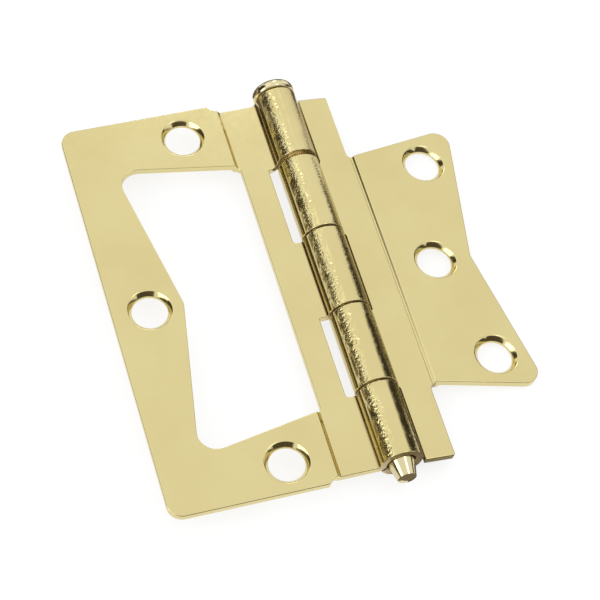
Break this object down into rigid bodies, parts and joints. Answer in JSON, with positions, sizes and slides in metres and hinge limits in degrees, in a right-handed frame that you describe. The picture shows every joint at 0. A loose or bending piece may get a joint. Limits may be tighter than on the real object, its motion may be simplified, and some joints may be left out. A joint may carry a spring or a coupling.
{
  "type": "non-mortise hinge",
  "caption": "Surface-fixed door hinge whose smaller leaf folds into a window in the larger one, with rolled knuckles, a loose button-head pin and countersunk screw holes.",
  "frame": {"origin": "midway between the outer leaf's two corner screw holes, on the back of its plate, the side that lies on the frame", "axes": "+Z out of the outer leaf's front, the side that the screws go in from; +Y along the pin toward its head; +X across from the outer leaf to the pin and the inner leaf"},
  "size_m": [0.079, 0.093, 0.0094],
  "materials": {
    "brass_plating": "polished"
  },
  "bodies": {
    "outer_leaf": {"outer_leaf": "brass_plating"},
    "inner_leaf": {"inner_leaf": "brass_plating"},
    "pin": {"hinge_pin": "brass_plating"}
  },
  "joints": [
    {"name": "leaf_swing", "type": "hinge", "parent": "outer_leaf", "child": "inner_leaf", "pos_m": [0.0212, 0, 0.00077], "axis": [0, 1, 0], "range_deg": [-187.29, 130]},
    {"name": "pin_pull", "type": "slide", "parent": "outer_leaf", "child": "pin", "axis": [0, 1, 0], "range_m": [0, 0.1]}
  ]
}
